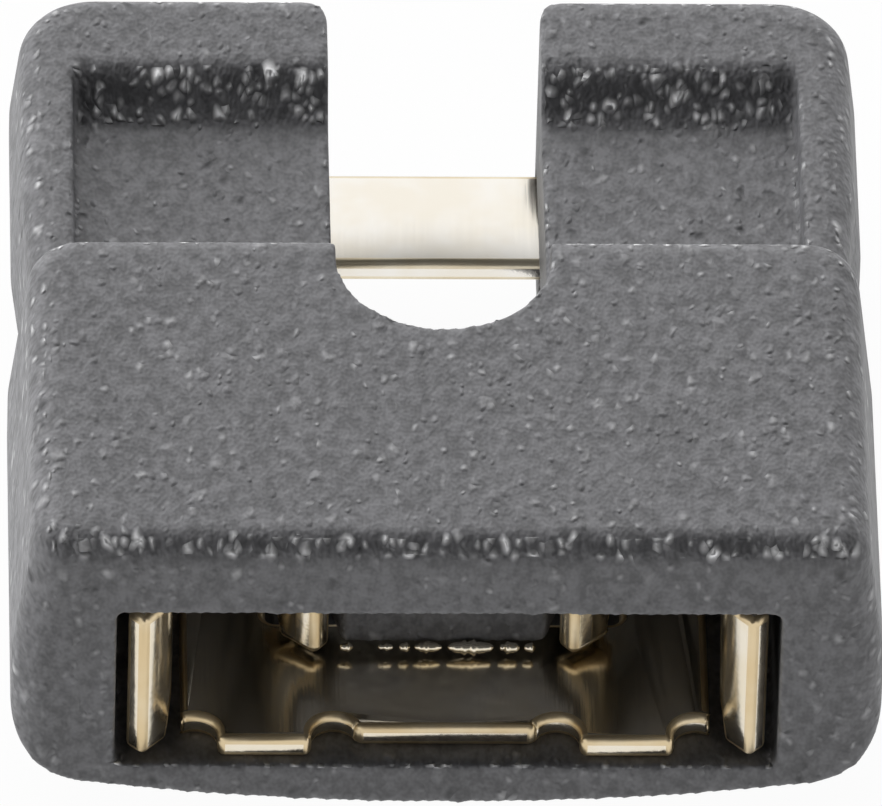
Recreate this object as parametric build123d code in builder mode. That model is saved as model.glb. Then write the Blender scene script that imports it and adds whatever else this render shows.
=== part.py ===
import os
from math import copysign
from build123d import *

# Jumper shunt that joins two neighbouring square posts of a pin header.
# It lies on its broad underside. +X runs along the row of posts, +Y from the mouth to the
# grip ears and +Z up through the thickness. Depths are measured from the mouth.
pitch = 2.54                # between the two posts
post = 0.64                 # side of a square post
neighbour_gap = 0.08        # left free between shunts on neighbouring posts
sheet = 0.15                # strip that the contact is stamped from
top_wall = 0.54             # moulding above the cavity
head_room = 0.14            # between a post and the cavity's ceiling
foot_room = 0.23            # between a post and the strip below it
body_length = 2.70          # full-thickness block round the cavity
ear_length = 2.58           # the two ears behind it
crown = 0.22                # rise of the bowed underside at its sides
side_draft = 0.12           # the top is narrower than the waist line by this much on each side
edge_round = 0.16           # soft upper edges of block and ears
fit_gap = 0.03              # free space beside the contact where it slides
slide_gap = 0.07            # and above its flat strip

width = 2 * pitch - neighbour_gap
half = width / 2
length = body_length + ear_length
thickness = 2 * top_wall + post + 2 * head_room
bottom_wall = thickness / 2 - post / 2 - foot_room - sheet
ceiling = thickness - top_wall
waist = thickness / 2

# Contact: for each post two gripping leaves, folded up from one flat frame.
squeeze = 0.02              # a leaf stands this far inside the face of a post
bow = 0.05                  # the leaves bow in this much from their roots to the grip
flare_room = 0.18           # the outer leaves open this much at the mouth
inner_flare = 0.20          # the inner leaves open this much towards each other
leaf_lift = 0.05            # lower edge of a leaf above the floor, or above the strip
bend = 0.10                 # inside radius of the folds
front_set = 0.06            # frame set back from the mouth
bar_set = 0.10              # cross bar set back from its two tongues
bar_width = 0.90            # cross bar behind the mouth
inner_set = 0.70            # inner leaves end this far behind the frame's front edge
bridge_width = 0.79         # bare strip seen in the notch
relief = 0.13               # radius of the fold reliefs in the front edge
root_length = 0.55          # folded root of each leaf
outer_grip = 0.16           # an outer leaf grips this far behind its flared end
inner_grip = 0.17           # and an inner leaf this far
leaf_turn = 0.25            # radius of the turns along a leaf
outer_face = pitch / 2 + post / 2 - squeeze
inner_face = pitch / 2 - post / 2 + squeeze
outer_fold = outer_face + sheet + bow
inner_fold = inner_face - sheet - bow
leaf_top = ceiling - 2 * fit_gap
bar_back = front_set + bar_set + bar_width
inner_end = front_set + inner_set

# Cavity and notch of the moulding.
cavity_half = outer_face + sheet + flare_room
rear_wall = 0.50            # behind the cavity
cavity_depth = body_length - rear_wall
root_end = cavity_depth - fit_gap
root_start = root_end - root_length
divider_half = inner_fold - 2 * fit_gap
divider_set = 0.04          # divider behind the ends of the inner leaves
divider_front = inner_end + divider_set
divider_nose = 0.58         # half width of the divider's narrowed front
divider_ramp = 0.42         # length over which it widens
notch_width = pitch / 2 - fit_gap
notch_bite = 0.82           # the notch cuts this far into the block
notch_start = body_length - notch_bite

# Grip ears.
ear_drop = 0.42             # they lie below the top face of the block
ear_inset = 0.03            # and a little inside its sides
ear_top = thickness - ear_drop
ear_half = half - ear_inset
ear_under_round = 0.90      # hull-shaped lower edge of an ear
body_under_round = 0.50
lip = 0.70                  # raised bar across the end of an ear
rim = 0.36                  # raised border along the outer side of an ear
pocket = 0.25               # depth of the finger pocket and run of its rear wall
pocket_hollow = 0.40        # radius of that wall
neck = 0.12                 # the ears narrow by this much where they leave the block
neck_run = 0.90
outer_corner = 0.42
inner_corner = 0.24
block_corner = 0.30
front_corner = 0.20
end_wall = 0.30             # behind the bridge
bridge_end = length - end_wall - fit_gap
bridge_start = bridge_end - bridge_width
strip_outside = outer_fold - bend - sheet
strip_inside = inner_fold + bend + sheet

face = Plane(origin=(0, -length / 2, 0), x_dir=(1, 0, 0), z_dir=(0, -1, 0))
plan = Plane(origin=(0, -length / 2, 0), x_dir=(1, 0, 0), z_dir=(0, 0, 1))
side = Plane(origin=(0, -length / 2, 0), x_dir=(0, 1, 0), z_dir=(1, 0, 0))


# Cross-section of the moulding: a flat top and a bowed underside.
def bowed_section(top, under_round):
    with BuildSketch() as section:
        with BuildLine():
            Polyline((-half, crown), (-half, top), (half, top), (half, crown))
            ThreePointArc((half, crown), (0, 0), (-half, crown))
        make_face()
        fillet(section.vertices().sort_by(Axis.Y)[:2], under_round)
    return section.sketch


block_section = bowed_section(thickness, body_under_round)
ear_section = bowed_section(ear_top, ear_under_round)


# Body over a plan outline: upright up to the waist line and drafted from there to its top.
def drafted(outline, top):
    with BuildPart() as body:
        with BuildSketch(plan):
            add(outline(0))
        extrude(amount=waist)
        with BuildSketch(plan.offset(waist)):
            add(outline(0))
        with BuildSketch(plan.offset(top)):
            add(outline(side_draft * (top - waist) / (thickness - waist)))
        loft(ruled=True)
    return body.part


def block_outline(draft):
    with BuildSketch() as outline:
        with Locations((0, body_length / 2)):
            Rectangle(width - 2 * draft, body_length)
        fillet(outline.vertices().group_by(Axis.Y)[-1], block_corner)
        fillet(outline.vertices().group_by(Axis.Y)[0], front_corner)
    return outline.sketch


# The ears' slab starts inside the block and narrows where it leaves it.
def slab_outline(draft):
    outside = ear_half - draft
    with BuildSketch() as outline:
        with BuildLine():
            Polyline((-outside, length), (-outside, body_length + neck_run),
                     (neck - ear_half, body_length), (neck - ear_half, body_length / 2),
                     (ear_half - neck, body_length / 2), (ear_half - neck, body_length),
                     (outside, body_length + neck_run), (outside, length), close=True)
        make_face()
        corners = outline.vertices().group_by(Axis.X)
        fillet(corners[0] + corners[-1], outer_corner)
    return outline.sketch


drafted_block = drafted(block_outline, thickness)
drafted_slab = drafted(slab_outline, ear_top)

# Block: the drafted body, bowed underneath.
with BuildPart() as block:
    add(drafted_block)
    with BuildSketch(face):
        add(block_section)
    extrude(amount=-body_length, mode=Mode.INTERSECT)
    fillet(block.faces().sort_by(Axis.Z)[-1].edges(), edge_round)

# Housing: the lower slab for the ears and the block.
with BuildPart() as housing:
    add(drafted_slab)
    with BuildSketch(face):
        add(ear_section)
    extrude(amount=-length, mode=Mode.INTERSECT)
    fillet(housing.faces().sort_by(Axis.Z)[-1].edges(), edge_round)
    add(block.part)
    # Finger pocket of both ears, with a hollowed rear wall.
    with BuildSketch(side.offset(rim - ear_half)):
        with BuildLine():
            lip_start = length - lip
            pocket_floor = ear_top - pocket
            pocket_wall = RadiusArc((lip_start - pocket, pocket_floor), (lip_start, ear_top), -pocket_hollow)
            Polyline(pocket_wall @ 1, (lip_start, thickness), (body_length, thickness),
                     (body_length, pocket_floor), pocket_wall @ 0)
        make_face()
    extrude(amount=2 * (ear_half - rim), mode=Mode.SUBTRACT)
    # Notch between the ears, open at the rear and through the whole thickness.
    with BuildSketch(plan):
        with Locations((0, notch_start + notch_width / 2)):
            Circle(notch_width / 2)
            Rectangle(notch_width, length, align=(Align.CENTER, Align.MIN))
    extrude(amount=thickness, mode=Mode.SUBTRACT)
    rear_edges = housing.edges().filter_by(Axis.Z).group_by(Axis.Y)[-1]
    fillet(rear_edges.sort_by(lambda edge: abs(edge.center().X))[:2], inner_corner)
    # Mouth: a shared entrance, two sockets and the divider left between them.
    with BuildSketch(plan.offset(bottom_wall)):
        with Locations((0, cavity_depth / 2)):
            Rectangle(2 * cavity_half, cavity_depth)
        with BuildLine():
            Polyline((0, divider_front), (divider_nose, divider_front),
                     (divider_half, divider_front + divider_ramp), (divider_half, cavity_depth),
                     (-divider_half, cavity_depth), (-divider_half, divider_front + divider_ramp),
                     (-divider_nose, divider_front), close=True)
        make_face(mode=Mode.SUBTRACT)
    extrude(amount=ceiling - bottom_wall, mode=Mode.SUBTRACT)
    # Flat slot along which the frame slides into the ears.
    with BuildSketch(plan.offset(bottom_wall)):
        with Locations((0, (bridge_end + fit_gap) / 2)):
            Rectangle(2 * (strip_outside + fit_gap), bridge_end + fit_gap)
    extrude(amount=sheet + slide_gap, mode=Mode.SUBTRACT)
housing.part.label = "housing"


# Leaf: a root folded up from the strip beside it and a spring blade that follows a route
# seen from above, cut away under its middle so that only the flared end reaches down.
def leaf(route, end_height):
    root_x = route[0][0]
    strip_x = copysign(pitch / 2, root_x)
    with BuildPart() as blade:
        with BuildSketch(plan.offset(end_height)):
            with BuildLine():
                FilletPolyline(*route, radius=leaf_turn)
            trace(line_width=sheet)
        extrude(amount=leaf_top - end_height)
        with BuildSketch(plan.offset(bottom_wall)):
            with Locations((strip_x, route[2][1])):
                Rectangle(pitch, length, align=(Align.CENTER, Align.MIN))
        extrude(amount=bend + sheet, mode=Mode.SUBTRACT)
        with BuildSketch(face.offset(-root_start)):
            with BuildLine():
                FilletPolyline((strip_x, bottom_wall + sheet / 2), (root_x, bottom_wall + sheet / 2),
                               (root_x, leaf_top), radius=bend + sheet / 2)
            trace(line_width=sheet)
        extrude(amount=-root_length)
    return blade.part


leaves = []
for sign in (-1, 1):
    outer_root = sign * (outer_fold - sheet / 2)
    inner_root = sign * (inner_fold + sheet / 2)
    leaves.append(leaf([(outer_root, root_end), (outer_root, root_start),
                        (sign * (outer_face + sheet / 2), front_set + outer_grip),
                        (sign * (cavity_half - fit_gap - sheet / 2), front_set)],
                       bottom_wall + leaf_lift))
    leaves.append(leaf([(inner_root, root_end), (inner_root, root_start),
                        (sign * (inner_face - sheet / 2), inner_end + inner_grip),
                        (sign * (inner_face - sheet / 2 - inner_flare), inner_end)],
                       bottom_wall + sheet + leaf_lift))

# Contact: a flat frame with a long window, its front edge relieved beside the folds.
with BuildPart() as contact:
    with BuildSketch(plan.offset(bottom_wall)):
        with Locations((0, (front_set + bridge_end) / 2)):
            Rectangle(2 * strip_outside, bridge_end - front_set)
        with Locations((0, (bar_back + bridge_start) / 2)):
            Rectangle(2 * strip_inside, bridge_start - bar_back, mode=Mode.SUBTRACT)
        with Locations((0, front_set)):
            Rectangle(2 * (inner_fold - relief), 2 * bar_set, mode=Mode.SUBTRACT)
        for edge in (outer_face - relief, inner_fold - relief):
            with Locations((edge, front_set), (-edge, front_set)):
                SlotCenterToCenter(relief, 2 * relief, rotation=90, mode=Mode.SUBTRACT)
    extrude(amount=sheet)
    add(leaves)
contact.part.label = "contact"

os.makedirs("parts", exist_ok=True)
export_step(housing.part, "parts/housing.step")
export_step(contact.part, "parts/contact.step")
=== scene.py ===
from math import asin, cos, pi, radians, sin, sqrt, tan

import bmesh
import bpy
from mathutils import Euler, Matrix, Vector, noise


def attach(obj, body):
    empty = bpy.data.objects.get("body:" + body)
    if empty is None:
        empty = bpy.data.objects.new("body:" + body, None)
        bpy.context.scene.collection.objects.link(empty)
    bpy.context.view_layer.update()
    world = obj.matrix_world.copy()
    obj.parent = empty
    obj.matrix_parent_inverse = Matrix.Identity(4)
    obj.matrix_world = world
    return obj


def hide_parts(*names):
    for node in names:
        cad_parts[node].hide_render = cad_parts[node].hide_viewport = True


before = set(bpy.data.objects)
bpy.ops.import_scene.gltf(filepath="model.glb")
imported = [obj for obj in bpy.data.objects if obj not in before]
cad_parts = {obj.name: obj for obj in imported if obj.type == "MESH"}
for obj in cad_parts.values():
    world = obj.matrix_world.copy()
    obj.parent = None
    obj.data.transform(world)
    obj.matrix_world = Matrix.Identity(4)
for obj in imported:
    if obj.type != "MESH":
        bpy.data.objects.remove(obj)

scene = bpy.context.scene
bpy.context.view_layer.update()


# Housing: one small injection moulding of dark grey, glass-filled plastic. A full-thickness
# block surrounds the mouth, two lower ears with finger pockets reach back from it, and a
# round-ended notch runs in between them. Sizes are millimetres; depths count from the mouth.
MM = 0.001
pitch = 2.54
sheet = 0.15
fit_gap = 0.03
block_half = 2.50
thickness = 2.0
waist = thickness / 2
side_draft = 0.12
body_length = 2.70
length = 5.28
mouth = -length / 2
crown = 0.22
edge_round = 0.16
bottom_wall = 0.30
ceiling = 1.46
ear_half = 2.47
ear_top = 1.58
spare = 0.5
weld = 1e-5
arc_steps = 14
voxel = 0.024
soften_rounds = 9
kept_share = 0.28


def new_object(name, mesh):
    piece = bpy.data.objects.new(name, mesh)
    scene.collection.objects.link(piece)
    return piece


def solid(name, bm):
    """Object made from a closed bmesh, which is used up."""
    bmesh.ops.recalc_face_normals(bm, faces=bm.faces)
    mesh = bpy.data.meshes.new(name)
    bm.to_mesh(mesh)
    bm.free()
    return new_object(name, mesh)


def turned(bm, vert, centre, axis, angle, steps=arc_steps):
    """Draws an arc from a point and returns the arc's end."""
    last = bmesh.ops.spin(bm, geom=[vert], cent=centre, axis=axis, angle=angle, steps=steps)
    return [v for v in last["geom_last"] if isinstance(v, bmesh.types.BMVert)][0]


def chained(bm, vert, *points):
    """Draws straight lines on from a point and returns the last one's end."""
    for point in points:
        after = bm.verts.new(point)
        bm.edges.new((vert, after))
        vert = after
    return vert


def raised(name, bm, along):
    """Fills a closed outline and carries it along a vector."""
    bmesh.ops.remove_doubles(bm, verts=bm.verts, dist=weld)
    bmesh.ops.edgeloop_fill(bm, edges=bm.edges)
    lifted = bmesh.ops.extrude_face_region(bm, geom=bm.faces[:])["geom"]
    top = [v for v in lifted if isinstance(v, bmesh.types.BMVert)]
    bmesh.ops.translate(bm, verts=top, vec=along)
    return solid(name, bm)


def bowed_bar(name, under_round):
    """Long bar with upright sides and an underside bowed like a hull."""
    radius = (block_half ** 2 + crown ** 2) / (2 * crown)
    inner = block_half - under_round
    centre_z = radius - sqrt((radius - under_round) ** 2 - inner ** 2)
    lean = asin(inner / (radius - under_round))
    bm = bmesh.new()
    front = mouth - spare
    start = bm.verts.new((block_half, front, centre_z))
    vert = turned(bm, start, (inner, front, centre_z), (0, 1, 0), pi / 2 - lean)
    vert = turned(bm, vert, (0, front, radius), (0, 1, 0), 2 * lean, 3 * arc_steps)
    vert = turned(bm, vert, (-inner, front, centre_z), (0, 1, 0), pi / 2 - lean)
    vert = chained(bm, vert, (-block_half, front, thickness + spare),
                   (block_half, front, thickness + spare))
    bm.edges.new((vert, start))
    return raised(name, bm, (0, length + 2 * spare, 0))


def rounded_outline(corners, rounds):
    """Points round a plan outline, each corner rounded by its own radius."""
    bm = bmesh.new()
    verts = [bm.verts.new((x, mouth + depth, 0)) for x, depth in corners]
    bm.faces.new(verts)
    for corner, size in zip(verts, rounds):
        if size:
            before, after = [(e.other_vert(corner).co - corner.co).normalized()
                             for e in corner.link_edges]
            bmesh.ops.bevel(bm, geom=[corner], offset=size / tan(before.angle(after) / 2),
                            offset_type="OFFSET", affect="VERTICES", segments=arc_steps, profile=0.5,
                            material=-1)
    points = [vert.co.xy for face in bm.faces for vert in face.verts]
    bm.free()
    return points


def drafted_body(name, corners_at, rounds, top):
    """Body upright to the waist line, narrowing from there to a top with a rounded edge."""
    lower = rounded_outline(corners_at(0), rounds)
    upper = rounded_outline(corners_at(side_draft * (top - waist) / (thickness - waist)), rounds)
    bm = bmesh.new()
    rings = [[bm.verts.new((*point, z)) for point in outline]
             for outline, z in ((lower, -spare), (lower, waist), (upper, top))]
    bm.faces.new(rings[0])
    bm.faces.new(rings[-1])
    for ring, above in zip(rings, rings[1:]):
        for i in range(len(ring)):
            bm.faces.new((ring[i - 1], ring[i], above[i], above[i - 1]))
    bmesh.ops.recalc_face_normals(bm, faces=bm.faces)
    rim_edges = [e for e in bm.edges if all(v in rings[-1] for v in e.verts)]
    bmesh.ops.bevel(bm, geom=rim_edges, offset=edge_round, offset_type="OFFSET", affect="EDGES",
                    segments=arc_steps // 2, profile=0.5, material=-1)
    return solid(name, bm)


def finished(body, *tools):
    """The body with its modifiers carried out, and without the tools that they used."""
    view = bpy.context.evaluated_depsgraph_get()
    mesh = bpy.data.meshes.new_from_object(body.evaluated_get(view))
    body.modifiers.clear()
    body.data = mesh
    for tool in tools:
        bpy.data.objects.remove(tool)
    return body


def combined(body, operation, *tools):
    """Joins, cuts or trims a body with the tools."""
    for tool in tools:
        step = body.modifiers.new(operation.title(), "BOOLEAN")
        step.operation = operation
        step.solver = "MANIFOLD"
        step.object = tool
    return finished(body, *tools)


block_corner, front_corner, block_under = 0.30, 0.20, 0.50


def block_corners(draft):
    side = block_half - draft
    return [(-side, 0), (side, 0), (side, body_length), (-side, body_length)]


housing = drafted_body("housing_moulding", block_corners,
                       [front_corner, front_corner, block_corner, block_corner], thickness)
housing = combined(housing, "INTERSECT", bowed_bar("block_hull", block_under))

neck_in, neck_run, outer_corner, ear_under = 0.12, 0.90, 0.42, 0.90
neck_half = ear_half - neck_in


def ear_corners(draft):
    side = ear_half - draft
    right_ear = [(neck_half, body_length / 2), (neck_half, body_length),
                 (side, body_length + neck_run), (side, length)]
    return right_ear + [(-x, depth) for x, depth in reversed(right_ear)]


ears = drafted_body("ears", ear_corners,
                    [0, 0, outer_corner, outer_corner, outer_corner, outer_corner, 0, 0], ear_top)
ears = combined(ears, "INTERSECT", bowed_bar("ear_hull", ear_under))

# Finger pockets, hollowed where the wall turns up and over to the bar at the end of each ear.
lip, pocket, pocket_hollow, pocket_wall = 0.70, 0.25, 0.40, 0.36
lip_start = length - lip
pocket_side = pocket_wall - ear_half
hollow_turn = asin(pocket / sqrt(2) / pocket_hollow)
stand_off = pocket_hollow * cos(hollow_turn) / sqrt(2) + pocket / 2
hollow_y, hollow_z = mouth + lip_start - stand_off, ear_top - pocket + stand_off
rolled_over = 0.25
steep = pi / 4 + hollow_turn - rolled_over
over_y = hollow_y + pocket_hollow * sin(steep)
over_z = hollow_z - pocket_hollow * cos(steep)
over_round = (ear_top - over_z) / (1 - cos(steep))
bm = bmesh.new()
start = bm.verts.new((pocket_side, over_y + over_round * sin(steep), ear_top))
vert = turned(bm, start, (pocket_side, start.co.y, ear_top - over_round), (1, 0, 0), steep)
vert = turned(bm, vert, (pocket_side, hollow_y, hollow_z), (1, 0, 0), rolled_over - 2 * hollow_turn)
vert = chained(bm, vert, (pocket_side, mouth + body_length, ear_top - pocket),
               (pocket_side, mouth + body_length, thickness + spare),
               (pocket_side, start.co.y, thickness + spare))
bm.edges.new((vert, start))
ears = combined(ears, "DIFFERENCE", raised("pockets", bm, (-2 * pocket_side, 0, 0)))
housing = combined(housing, "UNION", ears)

# Notch between the ears, with the ears' inner rear corners rounded.
notch_half = (pitch / 2 - fit_gap) / 2
notch_in, inner_corner = 0.82, 0.24
notch_centre = body_length - notch_in + notch_half
rounding = length - inner_corner
bm = bmesh.new()
start = bm.verts.new((notch_half + inner_corner, mouth + length, -spare))
vert = turned(bm, start, (notch_half + inner_corner, mouth + rounding, -spare), (0, 0, 1), pi / 2)
vert = chained(bm, vert, (notch_half, mouth + notch_centre, -spare))
vert = turned(bm, vert, (0, mouth + notch_centre, -spare), (0, 0, 1), -pi, 3 * arc_steps)
vert = chained(bm, vert, (-notch_half, mouth + rounding, -spare))
vert = turned(bm, vert, (-notch_half - inner_corner, mouth + rounding, -spare), (0, 0, 1), pi / 2)
vert = chained(bm, vert, (-notch_half - inner_corner, mouth + length + spare, -spare),
               (notch_half + inner_corner, mouth + length + spare, -spare))
bm.edges.new((vert, start))
notch = raised("notch", bm, (0, 0, thickness + 2 * spare))

# Mouth: a shared entrance, two sockets and the divider between them, and the flat slot along
# which the contact slides into the ears.
cavity_half, cavity_depth = 1.90, 2.20
divider_half, divider_nose, divider_front, divider_ramp = 0.71, 0.58, 0.80, 0.42
right_socket = [(cavity_half, -spare), (cavity_half, cavity_depth), (divider_half, cavity_depth),
                (divider_half, divider_front + divider_ramp), (divider_nose, divider_front)]
outline = right_socket + [(-x, depth) for x, depth in reversed(right_socket)]
bm = bmesh.new()
start = bm.verts.new((outline[0][0], mouth + outline[0][1], bottom_wall))
vert = chained(bm, start, *[(x, mouth + depth, bottom_wall) for x, depth in outline[1:]])
bm.edges.new((vert, start))
sockets = raised("sockets", bm, (0, 0, ceiling - bottom_wall))

slot_half, rear_wall, slot_room = 1.55, 0.30, 0.07
slot_end, slot_height = length - rear_wall, sheet + slot_room
bm = bmesh.new()
bmesh.ops.create_cube(bm, size=1)
bmesh.ops.scale(bm, verts=bm.verts, vec=(2 * slot_half, slot_end + spare, slot_height))
bmesh.ops.translate(bm, verts=bm.verts,
                    vec=(0, mouth + (slot_end - spare) / 2, bottom_wall + slot_height / 2))
housing = combined(housing, "DIFFERENCE", notch, sockets, solid("slot", bm))

# The mould leaves every edge slightly soft. The body is turned while it is remeshed, so that no
# edge runs almost along the voxels.
turn = Euler((0.53, 0.37, 0.71)).to_matrix().to_4x4()
housing.data.transform(turn)
remesh = housing.modifiers.new("Soft edges", "REMESH")
remesh.mode = "VOXEL"
remesh.voxel_size = voxel
settle = housing.modifiers.new("Settle", "SMOOTH")
settle.factor = 0.5
settle.iterations = soften_rounds
thin_out = housing.modifiers.new("Thin out", "DECIMATE")
thin_out.ratio = kept_share
housing = finished(housing)
housing.data.shade_smooth()
housing.modifiers.new("Flat faces", "WEIGHTED_NORMAL")
housing = finished(housing)
housing.data.transform(Matrix.Scale(MM, 4) @ turn.inverted())


class Wire:
    """A shader socket that can stand in sums; node() adds any other node to its tree."""

    def __init__(self, tree, socket=None):
        self.tree = tree
        self.socket = socket

    def node(self, kind, settings=None, sockets=None, out=0):
        made = self.tree.nodes.new(kind)
        for name, value in (settings or {}).items():
            setattr(made, name, value)
        for name, value in (sockets or {}).items():
            if isinstance(value, Wire):
                self.tree.links.new(value.socket, made.inputs[name])
            else:
                made.inputs[name].default_value = value
        return Wire(self.tree, made.outputs[out] if made.outputs else None)

    def beside(self, out):
        """Another output of the node that this wire comes from."""
        return Wire(self.tree, self.socket.node.outputs[out])

    def sums(self, operation, first, second=0.0):
        return self.node("ShaderNodeMath", {"operation": operation}, {0: first, 1: second})

    def __add__(self, other):
        return self.sums("ADD", self, other)

    __radd__ = __add__

    def __sub__(self, other):
        return self.sums("SUBTRACT", self, other)

    def __rsub__(self, other):
        return self.sums("SUBTRACT", other, self)

    def __mul__(self, other):
        return self.sums("MULTIPLY", self, other)

    __rmul__ = __mul__

    def blended(self, first, second):
        """The two colours mixed by this wire, on the Mix node's colour sockets."""
        return self.node("ShaderNodeMix", {"data_type": "RGBA"}, {0: self, 6: first, 7: second}, 2)

    def eased(self, low, high):
        """0 below low, 1 above high, smooth between."""
        return self.node("ShaderNodeMapRange", {"interpolation_type": "SMOOTHSTEP"},
                         {"Value": self, "From Min": low, "From Max": high})


def blank_material(name):
    material = bpy.data.materials.new(name)
    material.use_nodes = True
    material.node_tree.nodes.clear()
    return material, Wire(material.node_tree)


# Glass-filled plastic: a fine skin from the eroded mould, drawn out along the flow, with pale glass
# grains that stand proud and dark pits, more of them where the surface turns upwards. There the
# grains are also painted paler and made metallic: painted glints of the light from behind.
plastic, wire = blank_material("glass_filled_plastic")
place = wire.node("ShaderNodeTexCoord", out="Object")
flow = Vector((1, 0.67, 0.74))
skin_per_metre, grit_per_metre, specks_per_metre = 12000, 18000, 11000
dark_skin, pale_skin = (0.094, 0.094, 0.098, 1), (0.172, 0.172, 0.180, 1)
pit_grey = (0.047, 0.047, 0.050, 1)
glass_grey, painted_glint_white = (0.66, 0.66, 0.67, 1), (0.95, 0.95, 0.96, 1)
grain_rise = 0.020 * MM


def along_flow(per_metre):
    """Places on the piece counted in grains, which are longer along the flow."""
    return wire.node("ShaderNodeMapping", None, {"Vector": place, "Scale": flow * per_metre})


# How far the surface has turned away from all three axes on its way up, which is most on the upper
# edges that run across the width. Besides more grit and taller bumps there, this mask paints glints
# there: paler, metallic grains.
facing = wire.node("ShaderNodeSeparateXYZ", None, {0: place.beside("Normal")})
across, along, upright = [wire.sums("ABSOLUTE", facing.beside(axis)) for axis in "XYZ"]
squarest = wire.sums("MAXIMUM", wire.sums("MAXIMUM", across, along), upright)
edge_grit_and_glint = 1 - squarest.eased(0.86, 1.0)
edge_grit_and_glint = edge_grit_and_glint * facing.beside("Z").eased(0.1, 0.5) * (1 - 0.7 * across.eased(0.2, 0.6))
skin = wire.node("ShaderNodeTexNoise", None, {
    "Vector": along_flow(skin_per_metre), "Scale": 1, "Detail": 2, "Roughness": 0.85})
wobble = wire.node("ShaderNodeTexNoise", None, {
    "Vector": along_flow(skin_per_metre), "Scale": 1, "Detail": 0}, "Color")
wobble = wire.node("ShaderNodeVectorMath", {"operation": "SCALE"}, {0: wobble, "Scale": 0.7})


def grains(per_metre, share, edge_share, size):
    """Uneven domes of mixed sizes in a share of the cells, and how pale each one is."""
    pushed = wire.node("ShaderNodeVectorMath", None, {0: along_flow(per_metre), 1: wobble})
    cell = wire.node("ShaderNodeTexVoronoi", None, {"Vector": pushed, "Scale": 1})
    kind = wire.node("ShaderNodeSeparateColor", None, {"Color": cell.beside("Color")})
    chosen = (kind + (edge_share - share) * edge_grit_and_glint).eased(1 - share, 1.04 - share)
    spread = size * (0.5 + 0.5 * kind.beside("Green")) * (1 + 0.2 * edge_grit_and_glint)
    return (1 - cell.eased(0.0, spread)) * chosen, kind.beside("Blue")


grit, grit_pale = grains(grit_per_metre, share=0.30, edge_share=0.70, size=0.66)
specks, speck_pale = grains(specks_per_metre, share=0.34, edge_share=0.55, size=0.58)
pits = specks * (1 - speck_pale.eased(0.20, 0.30))
specks = specks - pits
tone = skin.eased(0.30, 0.70).blended(dark_skin, pale_skin)
tone = pits.blended(tone, pit_grey)
# Painted glints: on upturned edges the grains are painted near white.
grain_and_glint_tone = edge_grit_and_glint.blended(glass_grey, painted_glint_white)
tone = (grit * (0.4 * grit_pale * grit_pale + 0.7 * edge_grit_and_glint)).blended(tone, grain_and_glint_tone)
tone = (specks * (0.5 * speck_pale * speck_pale * speck_pale + 0.8 * edge_grit_and_glint)).blended(tone, grain_and_glint_tone)
height = (skin - 0.5) * (0.55 + 0.6 * edge_grit_and_glint) + (grit + specks) * (0.45 + edge_grit_and_glint) - 0.4 * pits
bump = wire.node("ShaderNodeBump", None, {"Strength": 1.0, "Distance": grain_rise, "Height": height})
# Painted glints: on upturned edges the pale grains are also made metallic, so they mirror the bright
# tent.
shader = wire.node("ShaderNodeBsdfPrincipled", None, {
    "Base Color": tone, "Roughness": 0.48 - 0.2 * specks, "Metallic": 0.7 * specks * edge_grit_and_glint,
    "Normal": bump, "IOR": 1.5})
wire.node("ShaderNodeOutputMaterial", None, {"Surface": shader})
housing.data.materials.clear()
housing.data.materials.append(plastic)
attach(housing, "root")
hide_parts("housing")


# Contact: one stamped strip of gold-plated spring alloy. The blank is a flat frame; a leaf is
# folded up from each side of its two long strips and runs forward to grip a post, and the
# bridge at the rear shows in the notch.
front_set, bar_set, bar_back, relief = 0.06, 0.10, 1.06, 0.13
bridge_run, root_run, touching = 0.79, 0.55, 1e-4
bar_front = front_set + bar_set
bridge_end = slot_end - fit_gap
bridge_start = bridge_end - bridge_run
outer_face, inner_face = 1.57, 0.97
inner_fold, fold_inside = 0.77, 0.10
leaf_top = ceiling - 2 * fit_gap
strip_outside, strip_inside = 1.52, 1.02
root_end = cavity_depth - fit_gap
root_start = root_end - root_run
inner_end, inner_flare, leaf_turn, leaf_lift = 0.76, 0.20, 0.25, 0.05
outer_flare_run, inner_flare_run = 0.16, 0.17
outer_grip, inner_grip = front_set + outer_flare_run, inner_end + inner_flare_run
rolled_edge, punch_corner = 0.045, 0.06
sheet_mid = bottom_wall + sheet / 2

# Right half of the flat blank, its front edge relieved beside the folds by round notches.
arch_depth = front_set + relief / 2
inner_arch = inner_fold - relief
outer_arch = outer_face - relief
arch_cut = asin((bar_front - arch_depth) / relief)
outer_cut = asin((strip_outside - outer_arch) / relief)
bm = bmesh.new()
start = bm.verts.new((0, mouth + bar_front, sheet_mid))
vert = chained(bm, start, (inner_arch - relief * cos(arch_cut), mouth + bar_front, sheet_mid))
vert = turned(bm, vert, (inner_arch, mouth + arch_depth, sheet_mid), (0, 0, 1), -(pi - arch_cut))
vert = chained(bm, vert, (inner_fold, mouth + front_set, sheet_mid),
               (outer_arch - relief, mouth + front_set, sheet_mid),
               (outer_arch - relief, mouth + arch_depth, sheet_mid))
vert = turned(bm, vert, (outer_arch, mouth + arch_depth, sheet_mid), (0, 0, 1), -(pi / 2 + outer_cut))
vert = chained(bm, vert, *[(x, mouth + depth, sheet_mid) for x, depth in (
    (strip_outside, root_start), (strip_outside, root_end), (strip_outside, bridge_end),
    (0, bridge_end), (0, bridge_start), (strip_inside, bridge_start), (strip_inside, root_end),
    (strip_inside, root_start), (strip_inside, bar_back + punch_corner))])
punch_centre = (strip_inside - punch_corner, mouth + bar_back + punch_corner, sheet_mid)
vert = turned(bm, vert, punch_centre, (0, 0, 1), -pi / 2)
vert = chained(bm, vert, (0, mouth + bar_back, sheet_mid))
bm.edges.new((vert, start))
bmesh.ops.edgeloop_fill(bm, edges=bm.edges)


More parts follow.
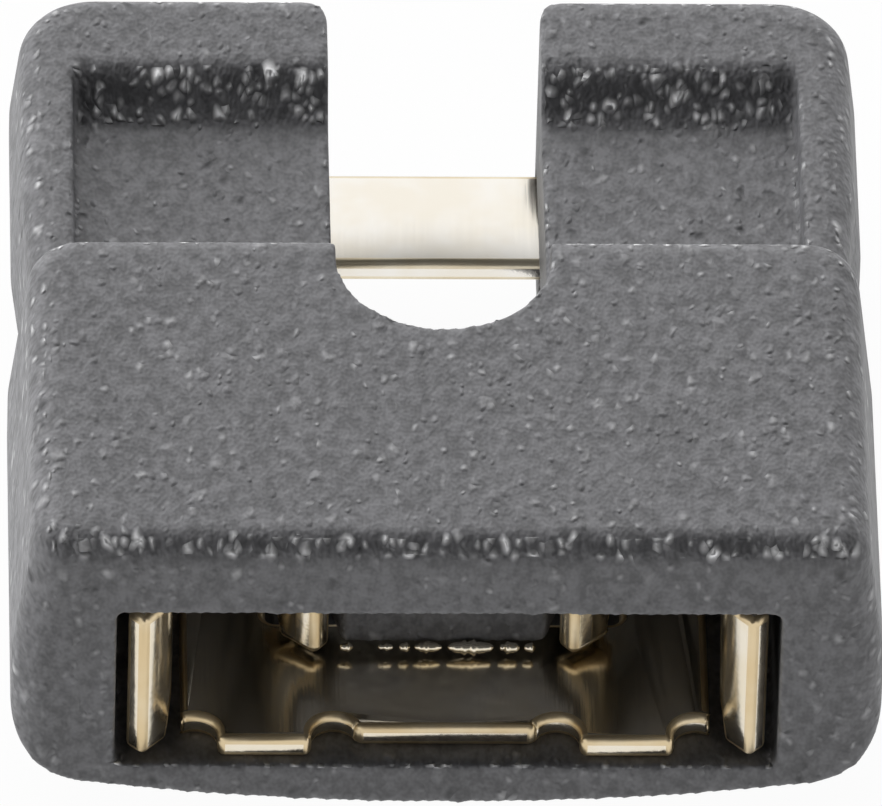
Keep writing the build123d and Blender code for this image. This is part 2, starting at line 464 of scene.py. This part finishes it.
def lifted_edges(bm, edges, along):
    """Draws a wall from the edges and returns its far edges."""
    made = bmesh.ops.extrude_edge_only(bm, edges=edges)["geom"]
    far = [v for v in made if isinstance(v, bmesh.types.BMVert)]
    bmesh.ops.translate(bm, verts=far, vec=along)
    return [e for e in made if isinstance(e, bmesh.types.BMEdge) and all(v in far for v in e.verts)]


def folded_leaf(bm, strip_x, way, route, end_height):
    """Folds a root up from the strip's edge and draws the spring blade forward from it."""
    root_mid = mouth + (root_start + root_end) / 2
    foot = [e for e in bm.edges if all(abs(v.co.x - strip_x) < touching for v in e.verts)
            and abs(sum(v.co.y for v in e.verts) / 2 - root_mid) < touching]
    fold_z = bottom_wall + sheet + fold_inside
    bent = bmesh.ops.spin(bm, geom=foot, cent=(strip_x, 0, fold_z), axis=(0, 1, 0),
                          angle=-way * pi / 2, steps=arc_steps)["geom_last"]
    bent_edges = [e for e in bent if isinstance(e, bmesh.types.BMEdge)]
    wall = lifted_edges(bm, bent_edges, (0, 0, leaf_top - fold_z))
    front = [e for v in wall[0].verts for e in v.link_edges
             if all(abs(u.co.y - mouth - root_start) < touching for u in e.verts)][:1]
    here = (front[0].verts[0].co.x, root_start)
    stages = []
    for stage in route:
        front = lifted_edges(bm, front, (stage[0] - here[0], stage[1] - here[1], 0))
        stages.append(front[0])
        here = stage
    bend, end = stages
    low = min(bend.verts, key=lambda v: v.co.z)
    tip = min(end.verts, key=lambda v: v.co.z)
    lifted_edges(bm, [e for e in low.link_edges if tip in e.verts], (0, 0, end_height - fold_z))
    bm.normal_update()
    before, after = [face.normal for face in bend.link_faces]
    bmesh.ops.bevel(bm, geom=[bend], offset=leaf_turn * tan(before.angle(after) / 2),
                    offset_type="OFFSET", affect="EDGES", segments=arc_steps, profile=0.5, material=-1)


folded_leaf(bm, strip_outside, 1, [(outer_face + sheet / 2, outer_grip),
                                   (cavity_half - fit_gap - sheet / 2, front_set)],
            bottom_wall + leaf_lift)
folded_leaf(bm, strip_inside, -1, [(inner_face - sheet / 2, inner_grip),
                                   (inner_face - sheet / 2 - inner_flare, inner_end)],
            bottom_wall + sheet + leaf_lift)
bmesh.ops.mirror(bm, geom=bm.verts[:] + bm.edges[:] + bm.faces[:], axis="X", merge_dist=touching)
contact = solid("contact_strip", bm)


# Bright plating with drawing lines along the strip, duller in blotches, and painted darker towards
# the mouth as shade inside the housing. The rolled edges take a darker, rougher gold: a painted dark
# reflection along them.
lines_per_metre, blotches_per_metre = (42000, 1500, 42000), 2600
shaded_from, lit_from = -1.2 * MM, 1.0 * MM
line_rise = 0.004 * MM


def plating(name, dull_and_shaded, bright, roughness):
    material, wire = blank_material(name)
    place = wire.node("ShaderNodeTexCoord", out="Object")
    stretched = wire.node("ShaderNodeMapping", None, {"Vector": place, "Scale": lines_per_metre})
    lines = wire.node("ShaderNodeTexNoise", None, {"Vector": stretched, "Scale": 1, "Detail": 3})
    blotch = wire.node("ShaderNodeTexNoise", None, {
        "Vector": place, "Scale": blotches_per_metre, "Detail": 3})
    depth = wire.node("ShaderNodeSeparateXYZ", None, {0: place}, "Y")
    # Painted shade: the plating darkens towards the mouth, inside the housing.
    clean_and_lit = 0.4 * blotch.eased(0.35, 0.7) + 0.6 * depth.eased(shaded_from, lit_from)
    tone = clean_and_lit.blended(dull_and_shaded, bright)
    bump = wire.node("ShaderNodeBump", None, {
        "Strength": 0.25, "Distance": line_rise, "Height": lines + 0.5 * blotch})
    shader = wire.node("ShaderNodeBsdfPrincipled", None, {
        "Base Color": tone, "Metallic": 1.0, "Roughness": roughness + 0.12 * lines, "Normal": bump})
    wire.node("ShaderNodeOutputMaterial", None, {"Surface": shader})
    return material


gold = plating("gold_plating", (0.89, 0.80, 0.63, 1), (0.97, 0.94, 0.88, 1), 0.13)
# Painted reflection: the rolled edges' darker, rougher gold stands for the dark reflection they show.
edge_reflection_gold = plating("painted_edge_reflection_plating", (0.76, 0.60, 0.36, 1), (0.94, 0.85, 0.66, 1), 0.32)
contact.data.materials.append(gold)
contact.data.materials.append(edge_reflection_gold)
gauge = contact.modifiers.new("Sheet", "SOLIDIFY")
gauge.thickness = sheet
gauge.offset = 0
gauge.use_even_offset = True
rolled = contact.modifiers.new("Rolled edges", "BEVEL")
rolled.width = rolled_edge
rolled.segments = 4
rolled.limit_method = "ANGLE"
rolled.angle_limit = radians(50)
rolled.use_clamp_overlap = False
rolled.harden_normals = True
rolled.material = contact.data.materials.find(edge_reflection_gold.name)
contact = finished(contact)
contact.data.transform(Matrix.Scale(MM, 4))
contact.data.shade_smooth()
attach(contact, "root")
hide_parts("contact")


# Slivers: thin, uneven gold beads along the divider's lower front edge, which give the bright glints
# there, mirrored in the strip below. Each lies against the edge.
sliver_thick, sliver_sides, sliver_bands = 0.034, 10, 24
unevenness, bumps_per_mm = 0.5, 40
sliver_spans = ((-0.60, -0.52, 0.8), (-0.38, -0.29, 0.6), (-0.26, -0.19, 0.8), (-0.17, -0.01, 0.9),
                (0.02, 0.29, 1.2), (0.32, 0.44, 1.0), (0.46, 0.53, 0.8))
edge_at = Vector((0, mouth + divider_front - sliver_thick, bottom_wall + slot_height))
bm = bmesh.new()
# The beads stand in for the glints along the divider's lower front edge.
for start_x, end_x, size in sliver_spans:
    glint_bead = bmesh.ops.create_uvsphere(bm, u_segments=sliver_sides, v_segments=sliver_bands,
                                        radius=1)["verts"]
    bmesh.ops.rotate(bm, verts=glint_bead, cent=(0, 0, 0), matrix=Matrix.Rotation(pi / 2, 3, "Y"))
    thick = sliver_thick * size
    bmesh.ops.scale(bm, verts=glint_bead, vec=((end_x - start_x) / 2, thick, thick))
    for vert in glint_bead:
        swell = 1 + unevenness * noise.noise(Vector((vert.co.x * bumps_per_mm, size * bumps_per_mm, 0)))
        vert.co.yz = vert.co.yz * swell
    bmesh.ops.translate(bm, verts=glint_bead, vec=edge_at + Vector(((start_x + end_x) / 2, 0, 0)))
glint_slivers = solid("glint_slivers", bm)
glint_slivers.data.transform(Matrix.Scale(MM, 4))
glint_slivers.data.shade_smooth()
glint_slivers.data.materials.append(gold)
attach(glint_slivers, "root")


# Table: a plain pale floor of white paper that lies under the part. To the camera it is white,
# with only a faint shadow left; as a light it is a little brighter.
floor_half = 0.6
white, paper_white = (1, 1, 1, 1), (0.82, 0.82, 0.82, 1)
glow_bounced, glow_seen, glow_mirrored = 1.2, 1.0, 0.9
bounced_share, seen_share = 0.64, 0.96
bm = bmesh.new()
bmesh.ops.create_grid(bm, x_segments=1, y_segments=1, size=floor_half)
floor = solid("floor", bm)
paper, wire = blank_material("white_paper")
by_camera = wire.node("ShaderNodeLightPath", out="Is Camera Ray")
mirrored = by_camera.beside("Is Glossy Ray")
seen = wire.sums("MINIMUM", by_camera + mirrored + by_camera.beside("Is Transmission Ray"), 1.0)
matt = wire.node("ShaderNodeBsdfDiffuse", None, {"Color": paper_white})
strength = glow_bounced - (glow_bounced - glow_seen) * by_camera
strength = strength - (glow_bounced - glow_mirrored) * mirrored
glow = wire.node("ShaderNodeEmission", None, {"Color": white, "Strength": strength})
share = bounced_share + (seen_share - bounced_share) * seen
surface = wire.node("ShaderNodeMixShader", None, {0: share, 1: matt, 2: glow})
wire.node("ShaderNodeOutputMaterial", None, {"Surface": surface})
floor.data.materials.append(paper)


# Tent: the white cloth round the part, plain white to the camera. It has a dark part above the
# front, which keeps the mouth's side dim, and which bright metal mirrors from higher up.
tent_level, dark_share, dark_from, dark_full = 0.55, 0.92, 0.45, 0.9
dark_side, mirrored_dark_side = (0, -0.9, 1), (0, -0.45, 1)
sky = bpy.data.worlds.new("white_tent")
sky.use_nodes = True
sky.node_tree.nodes.clear()
scene.world = sky
wire = Wire(sky.node_tree)
by_camera = wire.node("ShaderNodeLightPath", out="Is Camera Ray")
mirrored = wire.sums(
    "MINIMUM", by_camera.beside("Is Glossy Ray") + by_camera.beside("Is Transmission Ray"), 1.0)
heading = wire.node("ShaderNodeTexCoord", out="Generated")


def dimmed(towards):
    """Sky level with its dark part on the side of the given direction."""
    side = wire.node("ShaderNodeVectorMath", {"operation": "DOT_PRODUCT"},
                     {0: heading, 1: towards}, "Value")
    return 1 - dark_share * side.eased(dark_from, dark_full)


lit = tent_level * dimmed(dark_side) * (1 - mirrored) + dimmed(mirrored_dark_side) * mirrored
level = by_camera + (1 - by_camera) * lit
tent = wire.node("ShaderNodeBackground", None, {"Color": white, "Strength": level})
wire.node("ShaderNodeOutputWorld", None, {"Surface": tent})


# Studio: one broad softbox behind and above, so that the top shines and the front stays dim,
# and a low one that brightens the left side.
def softbox(name, at, width, strength):
    lamp = bpy.data.lights.new(name, "AREA")
    lamp.shape = "SQUARE"
    lamp.size = width
    lamp.energy = strength * pi * width ** 2
    stand = new_object(name, lamp)
    stand.location = at
    stand.rotation_euler = (-Vector(at)).to_track_quat("-Z", "Y").to_euler()
    stand.visible_camera = False
    stand.visible_glossy = False


softbox("rear_softbox", at=(-0.02, 0.17, 0.09), width=0.20, strength=4.6)
softbox("left_softbox", at=(-0.18, 0.02, 0.015), width=0.10, strength=11.5)


# Camera: a long lens well above the mouth, a little left of the middle and slightly rolled. It
# aims above the mouth's upper edge, so that the whole part fills the picture.
elevation, azimuth, roll = radians(42), radians(2.24), radians(1.7)
distance, focal_px, image_width = 170 * MM, 29835, 882
ahead = Vector((sin(azimuth) * cos(elevation), cos(azimuth) * cos(elevation), -sin(elevation)))
level_right = Vector((cos(azimuth), -sin(azimuth), 0))
level_up = level_right.cross(ahead)
right = level_right * cos(roll) + level_up * sin(roll)
up = level_up * cos(roll) - level_right * sin(roll)
aim_up, aim_left = 0.818, 0.063
aim = Vector((0, mouth, thickness)) * MM + up * aim_up * MM - right * aim_left * MM
lens = bpy.data.cameras.new("long_lens")
lens.sensor_width = 36
lens.lens = focal_px / image_width * lens.sensor_width
lens.clip_start = 0.01
lens.clip_end = 10
camera = new_object("camera", lens)
turned_to = Matrix((right, up, -ahead)).transposed().to_4x4()
camera.matrix_world = Matrix.Translation(aim - ahead * distance) @ turned_to
scene.camera = camera
scene.view_settings.view_transform = "Standard"
